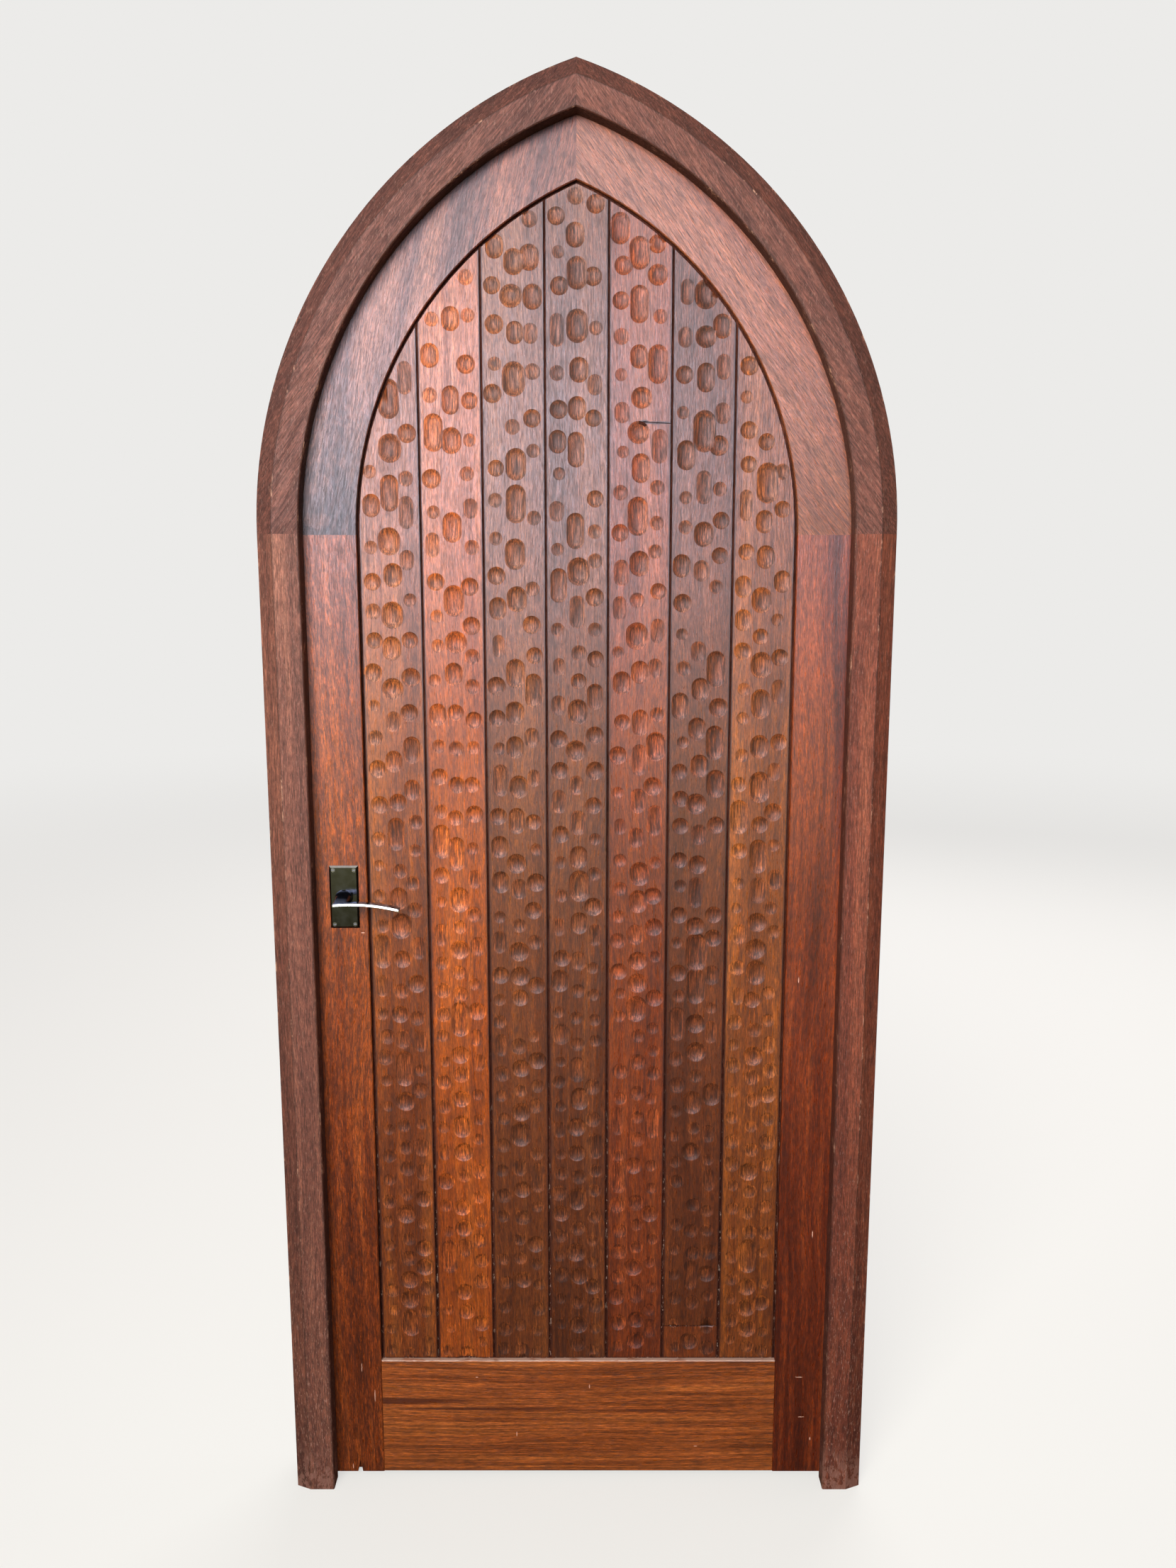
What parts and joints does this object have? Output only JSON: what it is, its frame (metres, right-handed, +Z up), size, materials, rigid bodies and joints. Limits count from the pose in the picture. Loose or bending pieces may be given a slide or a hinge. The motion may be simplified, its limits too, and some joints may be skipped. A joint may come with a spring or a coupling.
{
  "type": "arched wooden door with frame",
  "caption": "Pointed-arch boarded timber door hung in its own frame, with butt hinges and a lever latch.",
  "frame": {"origin": "on the floor, half-way across the frame, on the middle plane of the closed leaf", "axes": "+X to the right seen from outside, +Y into the building, +Z up"},
  "size_m": [1, 0.16, 2.35],
  "materials": {
    "frame_timber": "dull weathered varnish",
    "leaf_timber": "gloss varnish",
    "ledge_timber": "satin varnish",
    "dowel_timber": "plain",
    "hinge_brass": "satin",
    "lock_steel": "brushed",
    "lock_brass": "satin",
    "plate_black_nickel": "dark polished",
    "lever_polished": "polished",
    "board_1": "gloss varnish, gouged",
    "board_2": "gloss varnish, gouged",
    "board_3": "gloss varnish, gouged",
    "board_4": "gloss varnish, gouged",
    "board_5": "gloss varnish, gouged",
    "board_6": "gloss varnish, gouged",
    "board_7": "gloss varnish, gouged"
  },
  "bodies": {
    "frame": {"jamb_left": "frame_timber", "jamb_right": "frame_timber", "frame_head_left": "frame_timber", "frame_head_right": "frame_timber", "frame_dowels": "dowel_timber", "hinge_low_frame_leaf": "hinge_brass", "hinge_mid_frame_leaf": "hinge_brass", "hinge_top_frame_leaf": "hinge_brass", "hinge_low_pin": "hinge_brass", "hinge_mid_pin": "hinge_brass", "hinge_top_pin": "hinge_brass", "hinge_screws_frame": "hinge_brass", "strike_plate": "lock_steel", "strike_screws": "lock_steel"},
    "leaf": {"latch_stile": "leaf_timber", "hinge_stile": "leaf_timber", "leaf_head_left": "leaf_timber", "leaf_head_right": "leaf_timber", "leaf_dowels": "dowel_timber", "bottom_rail": "leaf_timber", "ledge_lower": "ledge_timber", "ledge_upper": "ledge_timber", "board_1": "board_1", "board_2": "board_2", "board_3": "board_3", "board_4": "board_4", "board_5": "board_5", "board_6": "board_6", "board_7": "board_7", "hinge_low_door_leaf": "hinge_brass", "hinge_mid_door_leaf": "hinge_brass", "hinge_top_door_leaf": "hinge_brass", "hinge_screws_door": "hinge_brass", "latch_case": "lock_steel", "latch_cover": "lock_steel", "latch_forend": "lock_brass", "forend_screws": "lock_brass", "bolt_spring": "lock_steel", "plate_front": "plate_black_nickel", "plate_rear": "plate_black_nickel", "plate_screws": "plate_black_nickel"},
    "levers": {"lever_front": "lever_polished", "lever_rear": "lever_polished", "spindle": "lock_steel", "follower": "lock_steel", "lever_grub_screws": "lock_steel"},
    "latch": {"latch_bolt": "lock_brass"}
  },
  "joints": [
    {"name": "leaf_swing", "type": "hinge", "parent": "frame", "child": "leaf", "pos_m": [0.444, 0.0355, 0.9], "axis": [0, 0, -1], "range_deg": [0, 110]},
    {"name": "lever_turn", "type": "hinge", "parent": "leaf", "child": "levers", "pos_m": [-0.3865, 0, 1.074], "axis": [0, 1, 0], "range_deg": [0, 55], "stiffness_Nm_per_rad": 0.8, "springref_deg": -34.38},
    {"name": "bolt_slide", "type": "slide", "parent": "leaf", "child": "latch", "axis": [1, 0, 0], "range_m": [0, 0.0115], "deforming": ["bolt_spring"]}
  ],
  "couplings": [
    {"joint": "bolt_slide", "follows": "lever_turn", "m_per_rad": 0.01198}
  ]
}
